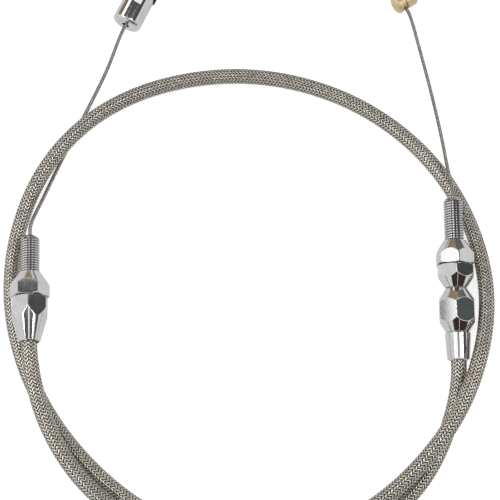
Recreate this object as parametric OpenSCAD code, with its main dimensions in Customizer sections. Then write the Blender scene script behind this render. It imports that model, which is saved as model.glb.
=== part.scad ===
// Throttle cable with a braided housing, laid down in one open loop and a half.
// A bare inner wire runs out of a threaded adjuster at each end of the housing: the left one
// ends in a round fork with a bolt across its slot, the right one in a turned brass end.
// Millimetres, +Z up, the floor at z = 0. The loop is laid out about its own centre, and
// frame_origin moves everything so that the origin is under the middle of the fittings.

/* [Housing] */
// Outside diameter of the braided sleeve
braid_d = 6.5; // [6.2:0.1:6.6]
// Wall of the braided sleeve
braid_wall = 0.7; // [0.5:0.1:0.7]
// Outside diameter of the wound conduit
conduit_d = 4.7; // [4.4:0.1:4.7]
// Wall of the wound conduit
conduit_wall = 0.65; // [0.5:0.05:0.65]
// Outside diameter of the liner
liner_d = 3.3; // [3:0.1:3.3]
// Wall of the liner
liner_wall = 0.6; // [0.4:0.1:0.6]
// Diameter of the inner wire
wire_d = 1.6; // [1.2:0.1:1.6]

/* [Fittings] */
// Hexagon across the flats, 9/16 inch
hex_flats = 14.29; // [13.5:0.1:14.5]
// Outside diameter of the adjuster thread, 5/16 inch
thread_d = 7.94; // [7.5:0.02:8]
// Radial running clearance of a jam nut on its thread
nut_clearance = 0.05; // [0.03:0.01:0.1]
// Length of the left thread that shows past its jam nut
left_thread_shown = 15.8; // [12:0.1:18]
// Length of the right thread that shows past its jam nuts
right_thread_shown = 17.8; // [12:0.1:18]
// Length of the left jam nut
left_nut_len = 10.7; // [9:0.1:11.5]
// Length of the left body
left_body_len = 18.5; // [17:0.1:20]
// Length of the right upper jam nut
upper_nut_len = 10.1; // [9:0.1:11.5]
// Length of the right lower jam nut
lower_nut_len = 9.6; // [9:0.1:11.5]
// Length of the right body between ferrule and nut
right_body_len = 18.3; // [17:0.1:20]
// Length of the right ferrule
ferrule_len = 11.5; // [10:0.1:13]
// Diameter of the ferrule at the braid
ferrule_small_d = 9.3; // [9:0.1:9.6]
// Diameter of the ferrule at the body
ferrule_large_d = 10.6; // [10:0.1:11]

/* [Wire ends] */
// Diameter of the fork, 1/2 inch
fork_d = 12.7; // [12:0.1:13]
// Length of the fork, 1 inch
fork_len = 25.4; // [24:0.1:27]
// Width of the fork's slot, 1/8 inch
slot_width = 3.2; // [2.5:0.1:3.5]
// Diameter of the bolt across the fork, number 8
bolt_d = 4.2; // [3.5:0.1:4.5]
// Diameter of the brass end
brass_d = 8; // [7:0.1:9]
// Length of the brass end
brass_len = 10.2; // [9:0.1:12]

/* [Hidden] */

$fn = 48;
// Where the part's origin lies, from the loop's centre
frame_origin = [-1.97, 59.37, 0];

// Turn that takes a hexagon's first corner from the right to the top
corner_up = -90;
// How far each hexagon is turned from there, and the left nut from having a flat on top
left_body_turn = 5.5;
left_nut_turn = 3.5;
right_body_turn = -11;
lower_nut_turn = -5.5;
upper_nut_turn = 2.5;
hex_r = hex_flats / 2 / cos(30);
// A cone turned on a hexagon bar is drawn on to this radius, clear of the bar's corners
clear_r = hex_r + 0.5;
thread_r = thread_d / 2;
// An adjuster has its thread's pitch radius where it is screwed into a nut or a body
pitch_r = thread_r - 0.34;
pitch_seat_r = pitch_r + 0.03;
nut_bore_r = pitch_r + nut_clearance;
// Gap from a nut's lip to where the full thread starts
thread_clear = 0.6;
// Face gap between a nut and its neighbour
nut_gap = 0.2;
// Height and depth of the bevel round a hexagon's flat end
bevel = [0.6, 1];
// Radius of the lip that a nut's cone ends in
nut_lip_r = 4.5;
nut_cone_len = 5.8;

// Passage of the wire through the bodies, the adjusters and the bushes
web_bore_r = 1.2;
adjuster_bore_r = 1.5;
bush_bore_r = 1;
bush_r = 2.2;
bush_len = 6;
tip_bevel = 1;

// Crimp sleeve between the braid and the fitting
crimp_in_r = braid_d / 2 + 0.1;
crimp_out_r = crimp_in_r + 0.5;
crimp_seat_r = crimp_out_r + 0.05;

// Left fitting: heights along its axis, from the face where the housing goes in
left_end = [-88.3, -20.7, 13.1];
left_yaw = 3;
left_pitch = -5;
left_seat = 8.5;
left_thread_start = 10.5;
left_nut_start = left_body_len + nut_gap;
left_mouth = left_nut_start + left_nut_len + left_thread_shown;
left_neck_r = 4.4;
neck_round = 0.3;
left_cone_len = 13.8;

// Right fitting: heights along its axis, from the ferrule's face where the housing goes in
right_yaw = 0.3;
right_pitch = 3.1;
right_seat = 9.1;
right_thread_start = 19;
right_body_start = ferrule_len;
lower_nut_start = right_body_start + right_body_len + nut_gap;
upper_nut_start = lower_nut_start + lower_nut_len + nut_gap;
right_mouth = upper_nut_start + upper_nut_len + right_thread_shown;
right_low_cone_len = 5.7;
right_top_cone_len = 6.3;
right_low_neck_r = 4.7;
right_top_neck_r = 4.3;
// The body's lower corner rests on the floor where its straight stretch begins
right_rest = right_body_start + right_low_cone_len;
right_height = hex_r * cos(right_body_turn) * cos(right_pitch) - right_rest * sin(right_pitch);
right_end = [86.2, -27.3, right_height];

// Housing: its middle line's [radius, height] at every loop_step degrees about the loop's centre,
// from loop_start, anticlockwise. It leaves the left fitting, passes over itself at the bottom,
// goes once round, passes under itself and rises to the right fitting.
loop_start = 210;
loop_step = 15;
loop_points = [
    [95.5, 10.8], [99.5, 8.8], [102, 7.8], [103, 9], [102, 10.8], [100.5, 9.8],
    [99, 8.5], [97.5, 10], [97.5, 12.3], [97.5, 12], [99, 6.8], [99, 3.3],
    [98.5, 3.3], [97.5, 3.3], [97, 3.3], [97, 3.3], [98, 3.3], [99.5, 3.3],
    [102, 3.8], [103, 5.6], [102.5, 5], [100.5, 3.3], [98.5, 3.3], [96, 3.3],
    [94.5, 3.3], [94, 3.3], [95.5, 3.3], [98, 3.3], [101.5, 3.3], [105, 3.3],
    [106, 3.3], [103, 3.3], [96, 3.3]
];
// Straight run of the housing outside each fitting, and rings per route span
straight_run = 7;
housing_rings = 2;

// Fork: centre of the face that the wire goes into, the way its axis points from there, and
// how far its slot leans over to the right
fork_face = [-53.5, 121, fork_d / 2];
fork_turn = 65.2;
fork_lean = 16;
fork_rim = 1.6;
wire_hole_r = 0.85;
face_hole_r = 1.65;
face_hole_depth = 3;
slot_start = 9.4;
// The bolt's head lies on a flat sunk into the fork's side, this far from the axis
bolt_at = 17.4;
seat_height = 4.9;
seat_r = 3.8;
bolt_tip = 5.6;
bolt_head = [3.4, 2];
bolt_head_bevel = 0.8;
bolt_socket_flats = 2.4;
bolt_socket_depth = 1.2;

// Brass end: where the wire's hole crosses its axis, how far that is from its short end, and
// the way its axis points
brass_at = [68, 133, brass_d / 2];
brass_short = 3.7;
brass_turn = 32;
brass_waist_r = 3.1;
brass_waist_len = 2.4;
brass_rim = 1.3;

// Bare wires, from their ends to the adjusters' mouths
wire_in_fork = 8;
wire_in_brass = 3;
left_wire_way = [
    [-60.5, 102.5, 4], [-65.5, 92.5, 1.6], [-70.5, 82, 0.9], [-75.5, 71, 0.9],
    [-81, 58.5, 0.9], [-84.5, 49, 2.5], [-88, 38.5, 5.6]
];
right_wire_way = [
    [74.5, 112.5, 5.2], [77.5, 98.5, 5.8], [80, 85, 6.8], [82, 73, 7.6], [83.7, 61, 8.7], [84.7, 51, 10]
];
wire_rings = 2;

// ---- directions and places ----

function heading(yaw, pitch) = [-sin(yaw) * cos(pitch), cos(yaw) * cos(pitch), sin(pitch)];
function on_left(t) = left_end + t * heading(left_yaw, left_pitch);
function on_right(t) = right_end + t * heading(right_yaw, right_pitch);
function on_fork(t) = fork_face + t * [cos(fork_turn), sin(fork_turn), 0];
// Into the brass end, square to its axis
function on_brass(t) = brass_at + (t - brass_waist_r) * [-sin(brass_turn), cos(brass_turn), 0];

// A uniform B-spline on a circle's points runs inside them by this share
loop_bulge = 3 / (2 + cos(loop_step));
function loop_point(i) = let (
    angle = loop_start + i * loop_step,
    radius = loop_points[i][0] * loop_bulge
) [radius * cos(angle), radius * sin(angle), loop_points[i][1]];

// ---- curves and tubes ----

function blend_point(p, i, f) = (
    pow(1 - f, 3) * p[i] + (3 * pow(f, 3) - 6 * f * f + 4) * p[i + 1]
    + (3 * f + 3 * f * f - 3 * pow(f, 3) + 1) * p[i + 2] + pow(f, 3) * p[i + 3]
) / 6;

// Points of the uniform cubic B-spline that starts and ends on the route's first and last points
function curve(route, per_span) = let (
    last = len(route) - 1,
    p = concat([2 * route[0] - route[1]], route, [2 * route[last] - route[last - 1]])
) [
    for (k = [0 : last * per_span])
        let (i = min(floor(k / per_span), last - 1))
        blend_point(p, i, k / per_span - i)
];

function unit(v) = v / norm(v);
function along(line, i) = unit(line[min(i + 1, len(line) - 1)] - line[max(i - 1, 0)]);

// A ring of points square to the line, with one point at its lowest place
function ring(centre, way, r, sides) = let (
    side = unit(cross(way, [0, 0, 1])),
    up = cross(side, way)
) [for (k = [0 : sides - 1]) let (a = k * 360 / sides - 90) centre + r * (cos(a) * side + sin(a) * up)];

function rings(line, r, sides) = [for (i = [0 : len(line) - 1]) each ring(line[i], along(line, i), r, sides)];

// The two triangles of one cell in a skin of rings, turned to face out or in
function cell(i, k, sides, from, out) = let (
    a = from + i * sides + k,
    b = from + i * sides + (k + 1) % sides
) out
    ? [[a, b, b + sides], [a, b + sides, a + sides]]
    : [[a, b + sides, b], [a, a + sides, b + sides]];

function skin(rows, sides, from, out) = [
    for (i = [0 : rows - 2]) for (k = [0 : sides - 1]) each cell(i, k, sides, from, out)
];

// The band of triangles that closes a tube's wall at one end
function band(outer, inner, sides, first) = [
    for (k = [0 : sides - 1]) let (n = (k + 1) % sides)
        each first
            ? [[outer + k, inner + k, inner + n], [outer + k, inner + n, outer + n]]
            : [[outer + k, inner + n, inner + k], [outer + k, outer + n, inner + n]]
];

module tube(line, outer_r, inner_r, sides) {
    rows = len(line);
    inner = rows * sides;
    tail = (rows - 1) * sides;
    polyhedron(
        concat(rings(line, outer_r, sides), rings(line, inner_r, sides)),
        concat(
            skin(rows, sides, 0, true), skin(rows, sides, inner, false),
            band(0, inner, sides, true), band(tail, inner + tail, sides, false)
        ),
        convexity = 10
    );
}

module rod(line, r, sides) {
    rows = len(line);
    tail = (rows - 1) * sides;
    polyhedron(
        rings(line, r, sides),
        concat(
            skin(rows, sides, 0, true),
            [for (k = [1 : sides - 2]) [0, k + 1, k]],
            [for (k = [1 : sides - 2]) [tail, tail + k, tail + k + 1]]
        ),
        convexity = 10
    );
}

// ---- routes ----

housing_route = concat(
    [on_left(left_seat), on_left(0.5), on_left(-straight_run)],
    [for (i = [0 : len(loop_points) - 1]) loop_point(i)],
    [on_right(-straight_run), on_right(0.5), on_right(right_seat)]
);
housing_line = curve(housing_route, housing_rings);
core_line = concat([on_left(left_mouth)], housing_line, [on_right(right_mouth)]);

left_wire_route = concat(
    [on_fork(wire_in_fork), on_fork(1), on_fork(-6)],
    left_wire_way,
    [on_left(left_mouth + 6), on_left(left_mouth + 2), on_left(left_mouth)]
);
right_wire_route = concat(
    [on_brass(wire_in_brass), on_brass(0), on_brass(-4)],
    right_wire_way,
    [on_right(right_mouth + 6), on_right(right_mouth + 2), on_right(right_mouth)]
);
left_wire_line = curve(left_wire_route, wire_rings);
right_wire_line = curve(right_wire_route, wire_rings);

// ---- lengths and the least gap, printed when the file is evaluated ----

function line_length(line, i = 1) = i < len(line) ? norm(line[i] - line[i - 1]) + line_length(line, i + 1) : 0;
// Two places on the housing count as different strands from this many points apart
strand_apart = 20;
gap_line = curve(housing_route, 6);
self_gap = min([
    for (i = [0 : len(gap_line) - 1 - strand_apart])
        for (j = [i + strand_apart : len(gap_line) - 1])
            norm(gap_line[i] - gap_line[j])
]) - braid_d;
echo(housing_length = line_length(housing_line), self_gap = self_gap);
echo(left_wire_length = line_length(left_wire_line), right_wire_length = line_length(right_wire_line));

// ---- shared shapes ----

module placed() {
    translate(-frame_origin) children();
}

// Upright pieces are laid along a fitting's axis, with -Y turned to the top
module on_left_axis(t = 0) {
    placed() translate(on_left(t)) rotate([left_pitch - 90, 0, left_yaw]) children();
}

module on_right_axis(t = 0) {
    placed() translate(on_right(t)) rotate([right_pitch - 90, 0, right_yaw]) children();
}

// Where the line from a through b, as [radius, height] points, comes to clear_r
function run_out(a, b) = a + (b - a) * (clear_r - a[0]) / (b[0] - a[0]);

// A hexagon bar turned to an outline of [radius, height] points, with a corner turned from the right
module hex_turned(outline, length, turn) {
    intersection() {
        rotate([0, 0, turn]) cylinder(r = hex_r, h = length, $fn = 6);
        rotate_extrude() polygon(outline);
    }
}

module jam_nut(length, turn) {
    face = [hex_r - bevel[1], 0];
    lip = [nut_lip_r, length];
    difference() {
        hex_turned([
            [0, 0], face, run_out(face, [hex_r, bevel[0]]),
            run_out(lip, [hex_r, length - nut_cone_len]), lip, [0, length]
        ], length, turn);
        translate([0, 0, -1]) cylinder(r = nut_bore_r, h = length + 2);
    }
}

module adjuster(length, shown) {
    start = length - shown + thread_clear;
    difference() {
        rotate_extrude() polygon([
            [0, 0], [pitch_r, 0], [pitch_r, start], [thread_r, start],
            [thread_r, length - tip_bevel], [thread_r - tip_bevel, length], [0, length]
        ]);
        translate([0, 0, -1]) cylinder(r = adjuster_bore_r, h = length + 2);
        translate([0, 0, length - bush_len]) cylinder(r = bush_r, h = bush_len + 1);
    }
}

module guide_bush() {
    difference() {
        cylinder(r = bush_r - 0.02, h = bush_len);
        translate([0, 0, -1]) cylinder(r = bush_bore_r, h = bush_len + 2);
    }
}

module crimp_sleeve(length) {
    difference() {
        cylinder(r = crimp_out_r, h = length);
        translate([0, 0, -1]) cylinder(r = crimp_in_r, h = length + 2);
    }
}

// ---- housing ----

module braid_sleeve() {
    color("darkgray") placed() tube(housing_line, braid_d / 2, braid_d / 2 - braid_wall, 8);
}

module conduit() {
    color("gray") placed() tube(housing_line, conduit_d / 2, conduit_d / 2 - conduit_wall, 6);
}

module liner() {
    color("ivory") placed() tube(housing_line, liner_d / 2, liner_d / 2 - liner_wall, 6);
}

module core_wire() {
    color("silver") placed() rod(core_line, wire_d / 2, 6);
}

module left_wire() {
    color("silver") placed() rod(left_wire_line, wire_d / 2, 8);
}

module right_wire() {
    color("silver") placed() rod(right_wire_line, wire_d / 2, 8);
}

// ---- left fitting ----

module left_adjuster() {
    color("gainsboro") on_left_axis(left_thread_start)
        adjuster(left_mouth - left_thread_start, left_thread_shown);
}

module left_guide_bush() {
    color("ivory") on_left_axis(left_mouth - bush_len) guide_bush();
}

module left_body() {
    neck = [left_neck_r, neck_round];
    face = [hex_r - bevel[1], left_body_len];
    color("gainsboro") on_left_axis() difference() {
        hex_turned([
            [0, 0], [left_neck_r - neck_round, 0], neck, run_out(neck, [hex_r, left_cone_len]),
            run_out(face, [hex_r, left_body_len - bevel[0]]), face, [0, left_body_len]
        ], left_body_len, corner_up + left_body_turn);
        translate([0, 0, -1]) cylinder(r = crimp_seat_r, h = left_seat + 1);
        cylinder(r = web_bore_r, h = left_body_len);
        translate([0, 0, left_thread_start]) cylinder(r = pitch_seat_r, h = left_body_len);
    }
}

module left_crimp_sleeve() {
    color("darkgray") on_left_axis(0.6) crimp_sleeve(left_seat - 0.6);
}

module left_jam_nut() {
    color("gainsboro") on_left_axis(left_nut_start) jam_nut(left_nut_len, left_nut_turn);
}

// ---- right fitting ----

module right_adjuster() {
    color("gainsboro") on_right_axis(right_thread_start)
        adjuster(right_mouth - right_thread_start, right_thread_shown);
}

module right_guide_bush() {
    color("ivory") on_right_axis(right_mouth - bush_len) guide_bush();
}

module right_body() {
    spigot_len = right_body_start - right_seat;
    foot = [right_low_neck_r, 0];
    neck = [right_top_neck_r, right_body_len];
    color("gainsboro") on_right_axis(right_seat) difference() {
        union() {
            cylinder(r = crimp_out_r, h = spigot_len + 1);
            translate([0, 0, spigot_len]) hex_turned([
                [0, 0], foot, run_out(foot, [hex_r, right_low_cone_len]),
                run_out(neck, [hex_r, right_body_len - right_top_cone_len]), neck, [0, right_body_len]
            ], right_body_len, corner_up + right_body_turn);
        }
        translate([0, 0, -1]) cylinder(r = web_bore_r, h = spigot_len + right_body_len);
        translate([0, 0, right_thread_start - right_seat]) cylinder(r = pitch_seat_r, h = right_body_len);
    }
}

module right_ferrule() {
    color("gainsboro") on_right_axis() difference() {
        rotate_extrude() polygon([
            [0, 0], [ferrule_small_d / 2 - 0.8, 0], [ferrule_small_d / 2 - 0.2, 0.3],
            [ferrule_small_d / 2, 0.9], [ferrule_large_d / 2, ferrule_len - 0.4],
            [ferrule_large_d / 2 - 0.4, ferrule_len], [0, ferrule_len]
        ]);
        translate([0, 0, -1]) cylinder(r = crimp_in_r, h = 3);
        translate([0, 0, 0.8]) cylinder(r = crimp_seat_r, h = ferrule_len);
    }
}

module right_crimp_sleeve() {
    color("darkgray") on_right_axis(0.8) crimp_sleeve(right_seat - 0.8);
}

module right_lower_nut() {
    color("gainsboro") on_right_axis(lower_nut_start + lower_nut_len)
        mirror([0, 0, 1]) jam_nut(lower_nut_len, corner_up + lower_nut_turn);
}

module right_upper_nut() {
    color("gainsboro") on_right_axis(upper_nut_start) jam_nut(upper_nut_len, corner_up + upper_nut_turn);
}

// ---- wire ends ----

// Upright pieces are laid along the fork's axis, with +Y in its slot and turned to the top
module on_fork_axis(t = 0) {
    placed() translate(on_fork(t)) rotate([0, 0, fork_turn]) rotate([90, 0, 90]) rotate([0, 0, fork_lean]) children();
}

// Pieces drawn up the bolt's axis, from the middle of the fork to the bolt's head
module on_bolt_axis() {
    on_fork_axis(bolt_at) rotate([0, -90, 0]) children();
}

module fork_end() {
    r = fork_d / 2;
    color("gainsboro") difference() {
        on_fork_axis() difference() {
            rotate_extrude() union() {
                translate([0, fork_rim]) square([r, fork_len - 2 * fork_rim]);
                square([r - fork_rim, fork_len]);
                for (y = [fork_rim, fork_len - fork_rim])
                    translate([r - fork_rim, y]) circle(fork_rim);
            }
            translate([0, 0, -1]) cylinder(r = face_hole_r, h = face_hole_depth + 1);
            cylinder(r = wire_hole_r, h = slot_start + 1);
            translate([-slot_width / 2, -fork_d, slot_start]) cube([slot_width, 2 * fork_d, fork_len]);
        }
        on_bolt_axis() translate([0, 0, -fork_d]) cylinder(d = bolt_d + 0.1, h = 2 * fork_d);
        on_bolt_axis() translate([0, 0, seat_height]) cylinder(r = seat_r, h = fork_d);
    }
}

module fork_bolt() {
    under = seat_height + 0.05;
    top = under + bolt_head[1];
    color("dimgray") on_bolt_axis() difference() {
        rotate_extrude() polygon([
            [0, -bolt_tip], [bolt_d / 2, -bolt_tip], [bolt_d / 2, under], [bolt_head[0], under],
            [bolt_head[0], top - bolt_head_bevel], [bolt_head[0] - bolt_head_bevel, top], [0, top]
        ]);
        translate([0, 0, top - bolt_socket_depth])
            cylinder(r = bolt_socket_flats / 2 / cos(30), h = bolt_socket_depth + 1, $fn = 6);
    }
}

module brass_end() {
    r = brass_d / 2;
    low = brass_rim - brass_short;
    high = brass_len - brass_short - brass_rim;
    color("goldenrod") placed() translate(brass_at) rotate([0, 0, brass_turn]) difference() {
        rotate([0, 90, 0]) rotate_extrude() union() {
            translate([0, -brass_short]) square([r - brass_rim, brass_len]);
            translate([0, low]) square([brass_waist_r, high - low]);
            translate([0, low]) square([r, -brass_waist_len / 2 - low]);
            translate([0, brass_waist_len / 2]) square([r, high - brass_waist_len / 2]);
            for (y = [low, high])
                translate([r - brass_rim, y]) circle(brass_rim);
        }
        translate([0, -brass_d, 0]) rotate([-90, 0, 0])
            cylinder(r = wire_hole_r + 0.05, h = brass_d - brass_waist_r + wire_in_brass + 0.1);
    }
}

braid_sleeve();
conduit();
liner();
core_wire();
left_wire();
right_wire();
left_adjuster();
left_guide_bush();
left_body();
left_crimp_sleeve();
left_jam_nut();
right_adjuster();
right_guide_bush();
right_body();
right_ferrule();
right_crimp_sleeve();
right_lower_nut();
right_upper_nut();
fork_end();
fork_bolt();
brass_end();
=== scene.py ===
"""A braided pull cable, coiled once, with a threaded hexagon fitting at each end of its housing,
a round fork with a bolt across it on one end of its wire and a small brass end on the other."""

from math import atan2, cos, degrees, pi, radians, sin, sqrt

import bmesh
import bpy
import numpy as np
from mathutils import Matrix, Vector


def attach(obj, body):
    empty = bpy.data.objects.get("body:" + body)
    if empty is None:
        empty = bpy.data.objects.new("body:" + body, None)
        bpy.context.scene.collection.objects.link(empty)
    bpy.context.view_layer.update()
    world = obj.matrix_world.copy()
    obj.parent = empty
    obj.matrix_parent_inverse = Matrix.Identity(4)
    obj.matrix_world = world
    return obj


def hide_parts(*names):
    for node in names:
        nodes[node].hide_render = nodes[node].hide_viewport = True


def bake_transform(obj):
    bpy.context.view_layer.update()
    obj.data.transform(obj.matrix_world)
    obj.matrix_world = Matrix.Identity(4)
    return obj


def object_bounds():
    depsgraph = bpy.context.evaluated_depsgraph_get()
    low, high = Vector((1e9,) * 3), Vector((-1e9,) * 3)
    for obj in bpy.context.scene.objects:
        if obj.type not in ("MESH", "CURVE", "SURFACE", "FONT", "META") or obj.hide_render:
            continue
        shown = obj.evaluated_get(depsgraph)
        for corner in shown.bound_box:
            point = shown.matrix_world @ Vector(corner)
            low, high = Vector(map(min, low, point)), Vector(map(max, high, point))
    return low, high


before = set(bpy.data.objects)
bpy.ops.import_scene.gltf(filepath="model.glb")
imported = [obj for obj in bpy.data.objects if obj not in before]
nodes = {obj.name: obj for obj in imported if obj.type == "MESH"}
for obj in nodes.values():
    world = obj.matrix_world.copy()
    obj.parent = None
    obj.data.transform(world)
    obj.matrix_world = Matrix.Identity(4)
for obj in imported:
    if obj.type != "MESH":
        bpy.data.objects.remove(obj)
cad_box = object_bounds()

# A piece's lengths are in millimetres about the middle of the cable's loop, and it is scaled to metres
# when it is put in its place
MM = 0.001
LOOP_CENTRE = Vector((1.97, -59.37, 0))

WIRE_D = 1.6
HEX_APOTHEM = 14.29 / 2
HEX_R = HEX_APOTHEM / cos(radians(30))
THREAD_R = 7.94 / 2
THREAD_ROOT_R = THREAD_R - 0.45
THREAD_PITCH = 25.4 / 24
BUSH_R = 2.2
BUSH_LEN = 6


# ---- camera, in metres ----

camera_data = bpy.data.cameras.new("camera")
camera_data.lens = 87.8
camera_data.sensor_width = 36
camera = bpy.data.objects.new("camera", camera_data)
camera.location = (0.00297, -0.16323, 0.50079)
camera.rotation_euler = (radians(14), 0, 0)
bpy.context.scene.collection.objects.link(camera)
bpy.context.scene.camera = camera
bpy.context.scene.view_settings.view_transform = "Standard"


# ---- where the fittings and the wire's ends lie ----

def fitting_place(end, yaw, pitch):
    """Local z runs up a fitting from the end of the braid in it, and local -y is its top."""
    return (
        Matrix.Translation(end) @ Matrix.Rotation(radians(yaw), 4, "Z")
        @ Matrix.Rotation(radians(pitch - 90), 4, "X")
    )


# The right body rests on one corner, which is this many degrees from straight down,
# at this distance up the fitting
RIGHT_PITCH = 3.1
RIGHT_CORNER = 11
RIGHT_REST_AT = 17.2
RIGHT_HEIGHT = (
    HEX_R * cos(radians(RIGHT_CORNER)) * cos(radians(RIGHT_PITCH)) - RIGHT_REST_AT * sin(radians(RIGHT_PITCH))
)
left_place = fitting_place(Vector((-88.3, -20.7, 13.1)), 3, -5)
right_place = fitting_place(Vector((86.2, -27.3, RIGHT_HEIGHT)), 0.3, RIGHT_PITCH)

# How far up each fitting the housing reaches, and where the adjuster's mouth is
LEFT_SHOULDER = 8.5
RIGHT_SHOULDER = 9.1
LEFT_MOUTH = 45.2
RIGHT_MOUTH = 67.7

FORK_TURN = radians(65.2)
FORK_LEAN = radians(16)
FORK_FACE = Vector((-53.5, 121, 6.35))
BRASS_TURN = radians(32)
BRASS_AT = Vector((68, 133, 4))
BRASS_WAIST_R = 3.1
fork_place = (
    Matrix.Translation(FORK_FACE) @ Matrix.Rotation(FORK_TURN + radians(90), 4, "Z")
    @ Matrix.Rotation(radians(90), 4, "X") @ Matrix.Rotation(FORK_LEAN, 4, "Z")
)
brass_place = (
    Matrix.Translation(BRASS_AT) @ Matrix.Rotation(BRASS_TURN, 4, "Z") @ Matrix.Rotation(radians(90), 4, "Y")
)


def on_left(t):
    """A point on the left fitting's axis, this far up it."""
    return left_place @ Vector((0, 0, t))


def on_right(t):
    """A point on the right fitting's axis, this far up it."""
    return right_place @ Vector((0, 0, t))


def on_fork(t):
    """A point on the fork's axis, this far past the face that the wire enters."""
    return FORK_FACE + t * Vector((cos(FORK_TURN), sin(FORK_TURN), 0))


def on_brass(t):
    """A point on the wire's line in the brass end, this far past the waist's surface."""
    return BRASS_AT + (t - BRASS_WAIST_R) * Vector((-sin(BRASS_TURN), cos(BRASS_TURN), 0))


# ---- the lines that the cords follow ----

# The loop's radius and height, anticlockwise from its left fitting round to its right one
LOOP_START = 210
LOOP_STEP = 15
LOOP_POINTS = [
    [95.5, 10.8], [99.5, 8.8], [102, 7.8], [103, 9], [102, 10.8], [100.5, 9.8], [99, 8.5], [97.5, 10],
    [97.5, 12.3], [97.5, 12], [99, 6.8], [99, 3.3], [98.5, 3.3], [97.5, 3.3], [97, 3.3], [97, 3.3],
    [98, 3.3], [99.5, 3.3], [102, 3.8], [103, 5.6], [102.5, 5], [100.5, 3.3], [98.5, 3.3], [96, 3.3],
    [94.5, 3.3], [94, 3.3], [95.5, 3.3], [98, 3.3], [101.5, 3.3], [105, 3.3], [106, 3.3], [103, 3.3],
    [96, 3.3],
]


def loop_point(i):
    """A point of the loop's route, moved out so that the smooth curve keeps the radius."""
    radius, height = LOOP_POINTS[i]
    turn = radians(LOOP_START + LOOP_STEP * i)
    bulge = 3 / (2 + cos(radians(LOOP_STEP)))
    return Vector((radius * bulge * cos(turn), radius * bulge * sin(turn), height))


housing_route = (
    [on_left(t) for t in (LEFT_SHOULDER, 0.5, -7)]
    + [loop_point(i) for i in range(len(LOOP_POINTS))]
    + [on_right(t) for t in (-7, 0.5, RIGHT_SHOULDER)]
)
left_wire_route = (
    [on_fork(t) for t in (8, 1, -6)]
    + [Vector(p) for p in (
        (-60.5, 102.5, 4), (-65.5, 92.5, 1.6), (-70.5, 82, 0.9), (-75.5, 71, 0.9), (-81, 58.5, 0.9),
        (-84.5, 49, 2.5), (-88, 38.5, 5.6),
    )]
    + [on_left(LEFT_MOUTH + t) for t in (6, 2, 0)]
)
right_wire_route = (
    [on_brass(t) for t in (3, 0, -4)]
    + [Vector(p) for p in (
        (74.5, 112.5, 5.2), (77.5, 98.5, 5.8), (80, 85, 6.8), (82, 73, 7.6), (83.7, 61, 8.7), (84.7, 51, 10),
    )]
    + [on_right(RIGHT_MOUTH + t) for t in (6, 2, 0)]
)


class Line:
    """A smooth curve through a route, with the level sideways direction and the upward one along it."""

    SPAN_STEPS = 80

    def __init__(self, route):
        ends = [2 * route[0] - route[1]] + route + [2 * route[-1] - route[-2]]
        p = np.array([list(v) for v in ends])
        f = np.linspace(0, 1, self.SPAN_STEPS, endpoint=False)[:, None]
        weights = (
            (1 - f) ** 3, 3 * f ** 3 - 6 * f ** 2 + 4, 1 + 3 * f + 3 * f ** 2 - 3 * f ** 3, f ** 3,
        )
        spans = [sum(w * p[i + k] for k, w in enumerate(weights)) / 6 for i in range(len(p) - 3)]
        self.points = np.vstack(spans + [p[-2][None]])
        steps = np.linalg.norm(np.diff(self.points, axis=0), axis=1)
        self.along = np.concatenate(([0], np.cumsum(steps)))
        self.length = float(self.along[-1])
        ways = np.gradient(self.points, self.along, axis=0)
        self.ways = ways / np.linalg.norm(ways, axis=1)[:, None]
        left = np.cross((0, 0, 1), self.ways)
        self.left = left / np.linalg.norm(left, axis=1)[:, None]
        self.up = np.cross(self.ways, self.left)

    def at(self, distance, rows):
        """The points or directions in rows, at distances along the line."""
        return np.stack([np.interp(distance, self.along, rows[:, k]) for k in range(3)], axis=1)

    def centres(self, count):
        return self.at(np.linspace(0, self.length, count), self.points)


housing_line = Line(housing_route)
left_wire_line = Line(left_wire_route)
right_wire_line = Line(right_wire_route)


def placed(points):
    """Points about the loop's middle, as metres in the part's own frame."""
    return [[float(x) for x in (np.array(p) + np.array(LOOP_CENTRE)) * MM] for p in points]


# ---- mesh helpers ----

def show(name, bm, material, body, *stands_for):
    """Makes a finished bmesh a piece that rides on a body, if one is named, and stands for CAD nodes."""
    mesh = bpy.data.meshes.new(name)
    bm.to_mesh(mesh)
    bm.free()
    piece = bpy.data.objects.new(name, mesh)
    bpy.context.scene.collection.objects.link(piece)
    mesh.materials.append(material)
    mesh.shade_smooth()
    if stands_for:
        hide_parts(*stands_for)
    if body:
        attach(piece, body)
    return piece


def settle(bm, place):
    """Puts a piece made about its own axis where it belongs, in metres."""
    onto = Matrix.Scale(MM, 4) @ Matrix.Translation(LOOP_CENTRE) @ place
    bmesh.ops.transform(bm, matrix=onto, verts=bm.verts)
    bmesh.ops.recalc_face_normals(bm, faces=bm.faces)


def read_points(mesh):
    """The x, y and z of a mesh's vertices."""
    flat = np.empty(len(mesh.vertices) * 3)
    mesh.vertices.foreach_get("co", flat)
    return flat.reshape(-1, 3).T


def write_points(mesh, points):
    mesh.vertices.foreach_set("co", points.ravel())
    mesh.update()


def lay_along(piece, line):
    """Bends a straight piece, made up the z axis from the line's start, along the line."""
    x, y, z = read_points(piece.data)
    bent = line.at(z, line.points) + x[:, None] * line.at(z, line.left) + y[:, None] * line.at(z, line.up)
    write_points(piece.data, (bent + np.array(LOOP_CENTRE)) * MM)


def loop_of(bm, points):
    """Vertices through the points, joined in a ring."""
    verts = [bm.verts.new(p) for p in points]
    return verts + [bm.edges.new((verts[i - 1], verts[i])) for i in range(len(verts))]


def wind(bm, geom, angle, steps, rise=0.0, **how):
    """Spins geometry about the z axis, and up it by the rise at each step."""
    bmesh.ops.spin(
        bm, geom=geom, axis=(0, 0, 1), cent=(0, 0, 0), dvec=(0, 0, rise), angle=angle, steps=steps, **how
    )


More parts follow.
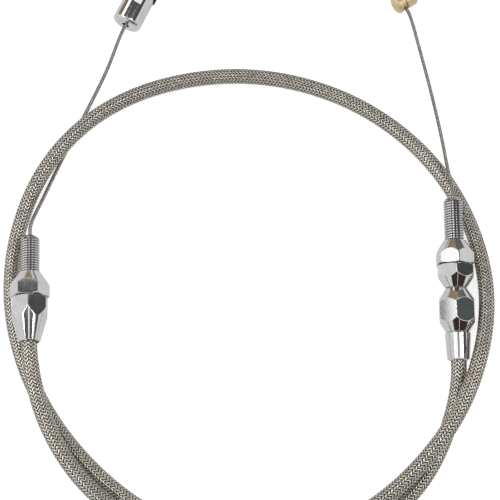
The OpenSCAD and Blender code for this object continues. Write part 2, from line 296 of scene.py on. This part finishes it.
def everything(bm):
    return bm.verts[:] + bm.edges[:] + bm.faces[:]


def close_ends(bm):
    """Fills a swept shape's open ends and turns its faces outward."""
    bmesh.ops.holes_fill(bm, edges=[e for e in bm.edges if e.is_boundary])
    bmesh.ops.recalc_face_normals(bm, faces=bm.faces)


LATHE_STEPS = 96


def lathe(outline):
    """A ring of metal turned to a closed outline of (radius, height) points."""
    bm = bmesh.new()
    wind(bm, loop_of(bm, [(r, 0, h) for r, h in outline]), 2 * pi, LATHE_STEPS, use_merge=True)
    return bm


def soften(piece):
    """Rounds a piece's sharp edges and keeps its flats flat."""
    bevel = piece.modifiers.new("edges", "BEVEL")
    bevel.width = 0.2 * MM
    bevel.segments = 2
    bevel.limit_method = "ANGLE"
    bevel.angle_limit = radians(9)
    bevel.use_clamp_overlap = False
    normals = piece.modifiers.new("flats", "WEIGHTED_NORMAL")
    normals.keep_sharp = True


# ---- materials ----

class Finish:
    """A material in the making. Its methods add the nodes that feed its shader."""

    def __init__(self, name, metallic):
        self.material = bpy.data.materials.new(name)
        self.material.use_nodes = True
        self.tree = self.material.node_tree
        self.shader = self.tree.nodes["Principled BSDF"]
        self.shader.inputs["Metallic"].default_value = metallic
        self.where = self.add("ShaderNodeTexCoord").outputs["Object"]

    def add(self, kind, feeds=None, **values):
        """A node with its settings and input values, and the outputs that feed it."""
        node = self.tree.nodes.new(kind)
        for key, value in values.items():
            if hasattr(node, key):
                setattr(node, key, value)
            else:
                node.inputs[key.replace("_", " ")].default_value = value
        for socket, source in (feeds or {}).items():
            self.tree.links.new(source, node.inputs[socket])
        return node

    def mapped(self, source, **values):
        return self.add("ShaderNodeMapping", {"Vector": source}, **values).outputs["Vector"]

    def noise(self, source, scale, detail, roughness):
        node = self.add(
            "ShaderNodeTexNoise", {"Vector": source}, Scale=scale, Detail=detail, Roughness=roughness
        )
        return node.outputs["Fac"]

    def maths(self, kind, first, second=0.0, third=0.0):
        node = self.add("ShaderNodeMath", operation=kind)
        for socket, value in zip(node.inputs, (first, second, third)):
            if isinstance(value, float):
                socket.default_value = value
            else:
                self.tree.links.new(value, socket)
        return node.outputs["Value"]

    def ramp(self, source, *stops):
        """A colour that runs between two (position, colour) stops."""
        node = self.add("ShaderNodeValToRGB", {"Fac": source})
        for element, (position, colour) in zip(node.color_ramp.elements, stops):
            element.position = position
            element.color = (*colour, 1)
        return node.outputs["Color"]

    def spread(self, source, low, high, source_low=0.0, source_high=1.0):
        """A value moved from its own range to the one from low to high."""
        node = self.add(
            "ShaderNodeMapRange", {"Value": source},
            From_Min=source_low, From_Max=source_high, To_Min=low, To_Max=high,
        )
        return node.outputs["Result"]

    def times(self, first, second, amount=1.0):
        node = self.add(
            "ShaderNodeMix", {"A": first, "B": second},
            data_type="RGBA", blend_type="MULTIPLY", Factor=amount,
        )
        return node.outputs["Result"]

    def done(self, colour, gloss, height, strength, depth):
        """Feeds the shader its colour, its roughness and its small relief, and gives the material."""
        relief = self.add("ShaderNodeBump", {"Height": height}, Strength=strength, Distance=depth)
        for socket, source in (
            ("Base Color", colour), ("Roughness", gloss), ("Normal", relief.outputs["Normal"]),
        ):
            self.tree.links.new(source, self.shader.inputs[socket])
        return self.material


def turned_steel(name, place, colour, marks, rough, root=None):
    """Bright turned metal: fine rings about the piece's axis and faint smears. With a root radius, as a thread has,
    painted shade darkens it from the crest down to the root, where the thread's grooves are in shadow."""
    metal = Finish(name, 1)
    centre, turn, _ = (Matrix.Translation(LOOP_CENTRE) @ place).decompose()
    own = metal.mapped(metal.where, vector_type="TEXTURE", Location=centre * MM, Rotation=turn.to_euler())
    rings = metal.noise(metal.mapped(own, Scale=(60, 60, 5200)), 1.0, 3, 0.6)
    smears = metal.noise(own, 170, 5, 0.62)
    tint = metal.ramp(smears, (0.3, [c * 0.86 for c in colour]), (0.7, colour))
    if root:
        # Painted shade: the colour falls to 0.45 of itself from the thread's crest down to its root.
        across = metal.add("ShaderNodeVectorMath", {0: own}, operation="MULTIPLY")
        across.inputs[1].default_value = (1, 1, 0)
        radius = metal.add("ShaderNodeVectorMath", {0: across.outputs["Vector"]}, operation="LENGTH")
        tint = metal.times(tint, metal.spread(radius.outputs["Value"], 0.45, 1.0, root * MM, THREAD_R * MM))
    return metal.done(tint, metal.spread(smears, rough, rough * 1.9, 0.3, 0.75), rings, marks, 0.00002)


WIRES_IN_RIBBON = 5


def braid_steel(name):
    """Ribbons of fine stainless wires, with painted shade in the grooves between the wires, at each ribbon's edges
    where it turns down to its neighbours, and where it runs under the others.
    """
    metal = Finish(name, 1)
    ribbon = metal.add("ShaderNodeUVMap", uv_map="ribbon")
    across = metal.add("ShaderNodeSeparateXYZ", {"Vector": ribbon.outputs["UV"]}).outputs["Y"]
    wave = metal.maths("COSINE", metal.maths("MULTIPLY", across, 2 * pi * WIRES_IN_RIBBON))
    wires = metal.maths("MULTIPLY_ADD", wave, -0.5, 0.5)
    centred = metal.maths("MULTIPLY", metal.maths("ABSOLUTE", metal.maths("SUBTRACT", across, 0.5)), 2.0)
    height = metal.add("ShaderNodeAttribute", attribute_name="rise", attribute_type="GEOMETRY")
    lifted = metal.maths("MULTIPLY_ADD", height.outputs["Fac"], 0.5, 0.5)
    patches = metal.noise(metal.where, 700, 4, 0.6)
    tint = metal.ramp(patches, (0.35, (0.6, 0.56, 0.49)), (0.65, (0.94, 0.9, 0.82)))
    # Painted shade: darker in the grooves between the fine wires.
    groove_shade = metal.ramp(wires, (0.0, (0.35, 0.32, 0.28)), (0.45, (1, 1, 1)))
    # Painted shade: near black at each ribbon's edges, where it turns down to its neighbours.
    edges = metal.ramp(centred, (0.38, (1, 1, 1)), (0.8, (0.025, 0.02, 0.015)))
    # Painted shade: near black where a ribbon dives under the ribbons of the other hand.
    under = metal.ramp(lifted, (0.3, (0.03, 0.027, 0.02)), (0.95, (1, 1, 1)))
    colour = metal.times(metal.times(metal.times(tint, groove_shade, 0.5), edges), under)
    return metal.done(colour, metal.spread(patches, 0.22, 0.4), wires, 0.5, 0.00003)


def mottled(name, dark, light, scale, metallic, rough, depth):
    """A plain finish broken up by fine mottling in its colour, gloss and surface."""
    plain = Finish(name, metallic)
    patches = plain.noise(plain.where, scale, 5, 0.6)
    tint = plain.ramp(patches, (0.3, dark), (0.7, light))
    return plain.done(tint, plain.spread(patches, rough * 0.75, rough * 1.3), patches, 0.5, depth)


BRIGHT = (0.62, 0.62, 0.61)
left_steel = turned_steel("left_bright_steel", left_place, BRIGHT, 0.08, 0.06)
right_steel = turned_steel("right_bright_steel", right_place, BRIGHT, 0.08, 0.06)
fork_steel = turned_steel("fork_bright_steel", fork_place, BRIGHT, 0.1, 0.07)
brass_metal = turned_steel("satin_brass", brass_place, (0.72, 0.58, 0.36), 0.6, 0.36)
left_thread = turned_steel("left_thread_steel", left_place, BRIGHT, 0.05, 0.08, THREAD_ROOT_R)
right_thread = turned_steel("right_thread_steel", right_place, BRIGHT, 0.05, 0.08, THREAD_ROOT_R)
braid_metal = braid_steel("braid_steel")
# Painted shade: the conduit under the braid is coloured near black, for the shadow between and beneath the ribbons.
braid_gap_shade = mottled("braid_gap_shade", (0.02, 0.018, 0.015), (0.06, 0.05, 0.042), 2500, 0.6, 0.5, 0.00002)
wire_steel = mottled("wire_steel", (0.17, 0.16, 0.15), (0.38, 0.37, 0.35), 1800, 1, 0.26, 0.00001)
sleeve_steel = mottled("crimp_sleeve_steel", (0.32, 0.31, 0.29), (0.5, 0.49, 0.46), 900, 1, 0.4, 0.00002)
bush_plastic = mottled("guide_bush_plastic", (0.72, 0.7, 0.62), (0.84, 0.82, 0.75), 1200, 0, 0.42, 0.00001)
bolt_black = mottled("black_oxide", (0.012, 0.012, 0.014), (0.045, 0.045, 0.05), 1500, 0.7, 0.38, 0.00002)


# ---- braided housing ----

RIBBONS_EACH_WAY = 16
RIBBON_STEP = 1.5
RIBBON_SECTION = [(-0.45, -0.11), (0.45, -0.11), (0.4, 0.06), (0.15, 0.17), (-0.15, 0.17), (-0.4, 0.06)]
RIBBON_MID_R = 2.95
RIBBON_RISE = 0.13
RIBBON_RUNS = 36
RIBBON_RUN_STEPS = 50
CROSSING_STEEPNESS = 1.6
TURN_PER_MM = radians(360 / (RIBBONS_EACH_WAY * RIBBON_STEP))
COLUMN = radians(360 / RIBBONS_EACH_WAY)
LAY_ANGLE = atan2(RIBBON_MID_R * TURN_PER_MM, 1)


def ribbon_set(name, hand, first):
    """Every second ribbon of one hand, straight: over in its own columns and under in the others."""
    bm = bmesh.new()
    start = first * COLUMN
    points = []
    for w, n in RIBBON_SECTION:
        turn = start + hand * w * cos(LAY_ANGLE) / RIBBON_MID_R
        points.append(((RIBBON_MID_R + n) * cos(turn), (RIBBON_MID_R + n) * sin(turn), -w * sin(LAY_ANGLE)))
    rise = housing_line.length / (RIBBON_RUNS * RIBBON_RUN_STEPS)
    run = RIBBON_RUN_STEPS * rise
    pairs = RIBBONS_EACH_WAY // 2
    wind(bm, loop_of(bm, points), hand * run * TURN_PER_MM, RIBBON_RUN_STEPS, rise)
    wind(bm, everything(bm), 2 * pi * (pairs - 1) / pairs, pairs - 1, use_duplicate=True)
    wind(
        bm, everything(bm), hand * run * TURN_PER_MM * (RIBBON_RUNS - 1), RIBBON_RUNS - 1, run,
        use_duplicate=True,
    )
    bmesh.ops.remove_doubles(bm, verts=bm.verts, dist=0.002)
    close_ends(bm)
    piece = show(name, bm, braid_metal, "housing")
    mesh = piece.data
    x, y, z = read_points(mesh)
    turn = np.arctan2(y, x)
    over = np.clip(CROSSING_STEEPNESS * np.sin(turn * pi / COLUMN), -1, 1) * hand
    reach = (np.hypot(x, y) + RIBBON_RISE * over) / np.hypot(x, y)
    write_points(mesh, np.stack([x * reach, y * reach, z], axis=1))
    across = ((turn * hand - z * TURN_PER_MM - start * hand) / COLUMN + 0.5) % 1
    corners = np.empty(len(mesh.loops), dtype=np.int32)
    mesh.loops.foreach_get("vertex_index", corners)
    ribbon = mesh.uv_layers.new(name="ribbon")
    ribbon.data.foreach_set("uv", np.stack([z[corners] / RIBBON_STEP, across[corners]], axis=1).ravel())
    # The rise also sets the painted shade where a ribbon dives under the others.
    rise_of = mesh.attributes.new("rise", "FLOAT", "POINT")
    rise_of.data.foreach_set("value", over.astype(np.float32))
    lay_along(piece, housing_line)
    return piece


braids = [
    ribbon_set("braid_right_lay_1", 1, 0),
    ribbon_set("braid_right_lay_2", 1, 1),
    ribbon_set("braid_left_lay_1", -1, 0),
    ribbon_set("braid_left_lay_2", -1, 1),
]

CONDUIT_R = 2.64
CONDUIT_SIDES = 16
HOUSING_STEPS = 400

# The conduit under the braid, coloured near black as painted shade.
conduit_bm = bmesh.new()
conduit_ring = [
    (CONDUIT_R * cos(2 * pi * k / CONDUIT_SIDES), CONDUIT_R * sin(2 * pi * k / CONDUIT_SIDES), 0)
    for k in range(CONDUIT_SIDES)
]
wind(conduit_bm, loop_of(conduit_bm, conduit_ring), 0, HOUSING_STEPS, housing_line.length / HOUSING_STEPS)
close_ends(conduit_bm)
conduit_cover = show("conduit_cover", conduit_bm, braid_gap_shade, "housing")
lay_along(conduit_cover, housing_line)
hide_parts("braid_sleeve", "conduit", "liner", "core_wire")


# ---- bare wire ----

STRANDS = 6
STRAND_POINTS = 6
STRAND_R = 0.27
STRAND_LAY = 6.9
WIRE_STEP = 0.33


def bare_wire(name, line, stands_for):
    """Six strands laid about each other, from the mouth of a fitting into the end that the wire carries."""
    bm = bmesh.new()
    centre_r = WIRE_D / 2 - STRAND_R
    step = 360 / (STRANDS * STRAND_POINTS)
    points = []
    for k in range(STRANDS * STRAND_POINTS):
        turn = radians(k * step)
        lean = radians((k % STRAND_POINTS - STRAND_POINTS / 2) * step)
        r = centre_r * cos(lean) + sqrt(max(STRAND_R ** 2 - (centre_r * sin(lean)) ** 2, 0))
        points.append((r * cos(turn), r * sin(turn), 0))
    steps = round(line.length / WIRE_STEP)
    wind(bm, loop_of(bm, points), -2 * pi * line.length / STRAND_LAY, steps, line.length / steps)
    close_ends(bm)
    piece = show(name, bm, wire_steel, None, stands_for)
    lay_along(piece, line)
    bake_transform(piece)
    placed(line.centres(steps + 1))


bare_wire("left_bare_wire", left_wire_line, "left_wire")
bare_wire("right_bare_wire", right_wire_line, "right_wire")


# ---- hexagon pieces ----

# A height past both ends of every hexagon piece
BAR_END = 50
HEX_WELD = 0.004


def height_at(slope, radius):
    """Where a straight edge between two (radius, height) points comes to a radius."""
    (r0, h0), (r1, h1) = slope
    return h0 + (radius - r0) * (h1 - h0) / (r1 - r0)


def hexagon(low, low_slope, high_slope, high, bore):
    """Hexagon bar turned at both ends: points on each end, the two sloping cuts, and the bore's points.
    A cut meets each flat in a curve. Heights run up the axis, and one corner is at local +x."""
    bm = lathe(low + [(HEX_R, -BAR_END), (HEX_R, BAR_END)] + high + bore)
    for vert in bm.verts:
        radius = Vector(vert.co[:2]).length
        turn = atan2(vert.co.y, vert.co.x)
        flat = HEX_APOTHEM / cos(radians(degrees(turn) % 60 - 30))
        if abs(vert.co.z) == BAR_END:
            slope, end = (low_slope, low[-1][1]) if vert.co.z < 0 else (high_slope, high[0][1])
            height = height_at(slope, flat)
            height = max(height, end) if vert.co.z < 0 else min(height, end)
            vert.co = (flat * cos(turn), flat * sin(turn), height)
        elif radius > flat:
            vert.co.x, vert.co.y = flat * cos(turn), flat * sin(turn)
    bmesh.ops.remove_doubles(bm, verts=bm.verts, dist=HEX_WELD)
    bmesh.ops.dissolve_degenerate(bm, edges=bm.edges, dist=HEX_WELD)
    return bm


def hex_piece(name, body, place, shift, turn, flip, material, *outline):
    """A hexagon piece in its place: shift up the fitting's axis, turned about it, and upside down if flip."""
    bm = hexagon(*outline)
    onto = (
        place @ Matrix.Translation((0, 0, shift)) @ Matrix.Scale(-1 if flip else 1, 4, (0, 0, 1))
        @ Matrix.Rotation(radians(turn), 4, "Z")
    )
    settle(bm, onto)
    soften(show(name, bm, material, body, name.replace("_turned", "")))


NUT_BORE_R = THREAD_R - 0.3
NUT_CONE_R = 4.5
NUT_CONE_LEN = 5.8
BODY_BORE_R = 3.66
CORE_BORE_R = 1.2


def nut_outline(length):
    """A nut's flat end with a small bevel, its cone at the other end, and its bore."""
    face = HEX_R - 1
    tip = (NUT_CONE_R, length)
    return (
        [(NUT_BORE_R + 0.35, 0), (face, 0)], [(face, 0), (HEX_R, 0.6)],
        [tip, (HEX_R, length - NUT_CONE_LEN)], [tip, (NUT_BORE_R + 0.2, length)],
        [(NUT_BORE_R, length - 0.2), (NUT_BORE_R, 0.35)],
    )


hex_piece("left_jam_nut_turned", "left_jam_nut", left_place, 18.7, 3.5, False, left_steel, *nut_outline(10.7))
hex_piece(
    "right_lower_nut_turned", "right_lower_nut", right_place, 39.6, -95.5, True, right_steel, *nut_outline(9.6)
)
hex_piece(
    "right_upper_nut_turned", "right_upper_nut", right_place, 39.8, -87.5, False, right_steel,
    *nut_outline(10.1)
)
hex_piece(
    "left_body_turned", "housing", left_place, 0, -84.5, False, left_steel,
    [(4.1, 0), (4.4, 0.3)], [(4.4, 0.3), (HEX_R, 13.8)], [(HEX_R - 1, 18.5), (HEX_R, 17.9)],
    [(HEX_R - 1, 18.5), (THREAD_R + 0.1, 18.5)],
    [
        (BODY_BORE_R, 18.1), (BODY_BORE_R, 10.5), (CORE_BORE_R, 10.5), (CORE_BORE_R, LEFT_SHOULDER),
        (3.9, LEFT_SHOULDER), (3.9, 0),
    ],
)
hex_piece(
    "right_body_turned", "housing", right_place, 11.5, -90 - RIGHT_CORNER, False, right_steel,
    [(3.85, 0), (4.7, 0)], [(4.7, 0), (HEX_R, 5.7)], [(4.3, 18.3), (HEX_R, 12)],
    [(4.3, 18.3), (THREAD_R + 0.05, 18.3)],
    [(BODY_BORE_R, 18), (BODY_BORE_R, 7.5), (CORE_BORE_R, 7.5), (CORE_BORE_R, -2.4), (3.85, -2.4)],
)


# ---- threaded adjusters ----

THREAD_STEPS = 48
SPARE_TURNS = 4
THREAD_PROFILE = [
    (THREAD_ROOT_R, 0.0), (THREAD_R, 0.25), (THREAD_R, 0.68), (THREAD_ROOT_R, 0.93),
    (THREAD_ROOT_R, THREAD_PITCH),
]
TIP_BEVEL = 1.1
HIDDEN_END_R = 2.0


def adjuster(name, place, start, mouth, material, stands_for):
    """A rolled thread from just inside its nut to its bevelled mouth, with the recess that holds the guide bush."""
    bm = bmesh.new()
    verts = [bm.verts.new((r, 0, h)) for r, h in THREAD_PROFILE]
    edges = [bm.edges.new(pair) for pair in zip(verts, verts[1:])]
    turns = int((mouth - start) / THREAD_PITCH) + SPARE_TURNS
    wind(bm, verts + edges, 2 * pi * turns, turns * THREAD_STEPS, THREAD_PITCH / THREAD_STEPS)
    bmesh.ops.translate(bm, vec=(0, 0, start - SPARE_TURNS / 2 * THREAD_PITCH), verts=bm.verts)
    bmesh.ops.remove_doubles(bm, verts=bm.verts, dist=0.005)
    # The cut is a hair below the mouth, where the ring of the mouth's face begins
    top = mouth - 0.001
    for height, way in ((start, -1), (top, 1)):
        bmesh.ops.bisect_plane(
            bm, geom=everything(bm), plane_co=(0, 0, height), plane_no=(0, 0, way), clear_outer=True,
            dist=0.0005,
        )
    for vert in bm.verts:
        radius = Vector(vert.co[:2]).length
        allowed = THREAD_R - TIP_BEVEL + (mouth - vert.co.z)
        if radius > allowed:
            vert.co.x *= allowed / radius
            vert.co.y *= allowed / radius
    bm.edges.ensure_lookup_table()
    for height, rings in (
        (start, [(HIDDEN_END_R, start)]), (top, [(BUSH_R, mouth), (BUSH_R, mouth - BUSH_LEN)]),
    ):
        rim = [e for e in bm.edges if e.is_boundary and all(abs(v.co.z - height) < 0.002 for v in e.verts)]
        for radius, level in rings:
            grown = bmesh.ops.extrude_edge_only(bm, edges=rim)["geom"]
            rim = [g for g in grown if isinstance(g, bmesh.types.BMEdge)]
            for vert in [g for g in grown if isinstance(g, bmesh.types.BMVert)]:
                turn = atan2(vert.co.y, vert.co.x)
                vert.co = (radius * cos(turn), radius * sin(turn), level)
        bmesh.ops.edgeloop_fill(bm, edges=rim)
    settle(bm, place)
    piece = show(name, bm, material, "housing", stands_for)
    piece.data.set_sharp_from_angle(angle=radians(24))


adjuster("left_adjuster_thread", left_place, 29.0, LEFT_MOUTH, left_thread, "left_adjuster")
adjuster("right_adjuster_thread", right_place, 49.5, RIGHT_MOUTH, right_thread, "right_adjuster")


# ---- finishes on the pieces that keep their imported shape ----

for node, material in (
    ("right_ferrule", right_steel), ("left_guide_bush", bush_plastic), ("right_guide_bush", bush_plastic),
    ("left_crimp_sleeve", sleeve_steel), ("right_crimp_sleeve", sleeve_steel),
    ("fork_end", fork_steel), ("fork_bolt", bolt_black), ("brass_end", brass_metal),
):
    for slot in nodes[node].material_slots:
        slot.material = material


# ---- studio, in metres ----

def stage_material(name, build):
    material = bpy.data.materials.new(name)
    material.use_nodes = True
    material.node_tree.nodes.clear()
    build(material.node_tree)
    return material


def ray_levels(tree, camera_level, mirror_level, lighting_level):
    """One strength on camera and see-through rays, one on mirror rays, and one on the rays that light the object."""
    path = tree.nodes.new("ShaderNodeLightPath")
    seen = tree.nodes.new("ShaderNodeMath")
    seen.operation = "MAXIMUM"
    tree.links.new(path.outputs["Is Camera Ray"], seen.inputs[0])
    tree.links.new(path.outputs["Is Transmission Ray"], seen.inputs[1])
    level = lighting_level
    for rays, strength in ((path.outputs["Is Glossy Ray"], mirror_level), (seen.outputs[0], camera_level)):
        choose = tree.nodes.new("ShaderNodeMix")
        tree.links.new(rays, choose.inputs["Factor"])
        if isinstance(level, float):
            choose.inputs["A"].default_value = level
        else:
            tree.links.new(level, choose.inputs["A"])
        choose.inputs["B"].default_value = strength
        level = choose.outputs["Result"]
    return level


def floor_nodes(tree):
    """A white table that keeps soft shadows."""
    diffuse = tree.nodes.new("ShaderNodeBsdfDiffuse")
    diffuse.inputs["Color"].default_value = (0.8, 0.8, 0.8, 1)
    glow = tree.nodes.new("ShaderNodeEmission")
    glow.inputs["Color"].default_value = (1, 1, 1, 1)
    tree.links.new(ray_levels(tree, 0.7, 0.35, 0.0), glow.inputs["Strength"])
    both = tree.nodes.new("ShaderNodeAddShader")
    out = tree.nodes.new("ShaderNodeOutputMaterial")
    tree.links.new(diffuse.outputs[0], both.inputs[0])
    tree.links.new(glow.outputs[0], both.inputs[1])
    tree.links.new(both.outputs[0], out.inputs["Surface"])


def flat_sheet(name, size, material):
    """A level square, from minus its size to plus its size."""
    bm = bmesh.new()
    bmesh.ops.create_grid(bm, x_segments=1, y_segments=1, size=size)
    mesh = bpy.data.meshes.new(name)
    bm.to_mesh(mesh)
    bm.free()
    mesh.materials.append(material)
    sheet = bpy.data.objects.new(name, mesh)
    bpy.context.scene.collection.objects.link(sheet)
    return sheet


floor = flat_sheet("floor", 3, stage_material("white_table", floor_nodes))
floor.location.z = cad_box[0][2] - 0.0002

world = bpy.data.worlds.new("studio")
world.use_nodes = True
background = world.node_tree.nodes["Background"]
background.inputs["Color"].default_value = (1, 1, 1, 1)
world.node_tree.links.new(ray_levels(world.node_tree, 1.0, 1.0, 0.5), background.inputs["Strength"])
bpy.context.scene.world = world


def soft_lamp(name, place, width, depth, energy):
    """A rectangular lamp in the ceiling of the tent, facing straight down."""
    data = bpy.data.lights.new(name, "AREA")
    data.shape = "RECTANGLE"
    data.size = width
    data.size_y = depth
    data.energy = energy
    lamp = bpy.data.objects.new(name, data)
    lamp.location = place
    bpy.context.scene.collection.objects.link(lamp)


soft_lamp("left_lamp", (-0.65, -0.08, 0.9), 0.12, 0.4, 2.3)
soft_lamp("right_lamp", (0.63, -0.12, 0.9), 0.13, 0.28, 2)


def card(name, centre, facing, width, height, level):
    """A felt card or a cloth outside the picture that only the polished metal sees."""

    def felt(tree):
        glow = tree.nodes.new("ShaderNodeEmission")
        glow.inputs["Color"].default_value = (*level, 1)
        out = tree.nodes.new("ShaderNodeOutputMaterial")
        tree.links.new(glow.outputs[0], out.inputs["Surface"])

    sheet = flat_sheet(name, 0.5, stage_material(name + "_felt", felt))
    sheet.location = centre
    sheet.rotation_euler = Vector(facing).to_track_quat("Z", "Y").to_euler()
    sheet.scale = (width, height, 1)
    sheet.visible_camera = False
    sheet.visible_diffuse = False
    sheet.visible_shadow = False


# Each card's name, middle, facing, width, height and brightness
DOWN = (0, 0, -1)
WHITE = (2.2, 2.2, 2.2)
for values in (
    ("ceiling_grey", (0.38, 0.425, 0.91), DOWN, 1.6, 0.69, (0.135, 0.137, 0.14)),
    ("ceiling_white", (-0.7, 0.87, 0.91), DOWN, 0.5, 0.5, (2.2, 2.2, 2.1)),
    ("ceiling_far", (-1.95, 1.7, 0.91), DOWN, 2, 1.4, (0.3, 0.17, 0.09)),
    ("ceiling_slate", (1.02, 0.2, 0.905), DOWN, 0.6, 0.75, (0.115, 0.13, 0.135)),
    ("ceiling_line", (-0.265, -0.1, 0.91), DOWN, 0.21, 0.18, WHITE),
    ("ceiling_brown", (-0.105, -0.1, 0.91), DOWN, 0.11, 0.18, (0.3, 0.2, 0.15)),
    ("ceiling_ash", (0.06, -0.1, 0.91), DOWN, 0.14, 0.18, (0.4, 0.4, 0.41)),
    ("ceiling_slot", (0.355, -0.1, 0.91), DOWN, 0.37, 0.18, WHITE),
    ("ceiling_dusk", (-0.32, -0.44, 0.91), DOWN, 0.48, 0.46, (0.15, 0.13, 0.135)),
    ("ceiling_streak", (0.01, -0.4, 0.91), DOWN, 0.07, 0.36, (1.8, 1.8, 1.8)),
    ("ceiling_dusk_2", (0.33, -0.44, 0.91), DOWN, 0.46, 0.46, (0.12, 0.11, 0.125)),
    ("left_thread_white", (-0.11, 0.367, 0.895), DOWN, 0.18, 0.058, WHITE),
    ("left_thread_light", (0.7, 0.505, 0.895), DOWN, 0.5, 0.19, (1, 1, 1)),
    ("left_thread_dark", (-0.51, 0.375, 0.895), DOWN, 0.2, 0.13, (0.05, 0.05, 0.055)),
    ("right_thread_dark", (-0.48, 0.13, 0.895), DOWN, 0.3, 0.12, (0.06, 0.06, 0.065)),
    ("right_thread_white", (-0.13, 0.12, 0.895), DOWN, 0.26, 0.09, WHITE),
    ("right_thread_black", (0.22, 0.115, 0.895), DOWN, 0.36, 0.09, (0.04, 0.04, 0.045)),
    ("right_thread_light", (0.55, 0.12, 0.895), DOWN, 0.18, 0.06, (1.8, 1.8, 1.8)),
    ("left_window", (-0.8, 0.24, 0.91), DOWN, 0.34, 0.5, (1.6, 1.6, 1.65)),
    ("left_window_low", (-1.2, 0.2, 0.42), (1, 0, 0), 0.5, 0.2, (1.7, 1.7, 1.75)),
    ("left_window_frame", (-1.19, 0.1, 0.388), (1, 0, 0), 0.2, 0.066, (0.05, 0.055, 0.06)),
    ("far_wall", (-0.65, 1.2, 0.22), (0, -1, 0), 1.6, 0.6, (0.4, 0.32, 0.22)),
    ("far_wall_2", (0.85, 1.2, 0.22), (0, -1, 0), 1.4, 0.6, (0.19, 0.19, 0.16)),
    ("near_figure", (-0.13, -1.0, 0.35), (0, 1, 0), 0.62, 0.8, (0.06, 0.04, 0.035)),
    ("near_figure_2", (0.72, -1.0, 0.35), (0, 1, 0), 0.98, 0.8, (0.06, 0.04, 0.035)),
    ("right_slate", (1.2, 0.125, 0.72), (-1, 0, 0), 0.95, 0.5, (0.09, 0.1, 0.1)),
):
    card(*values)
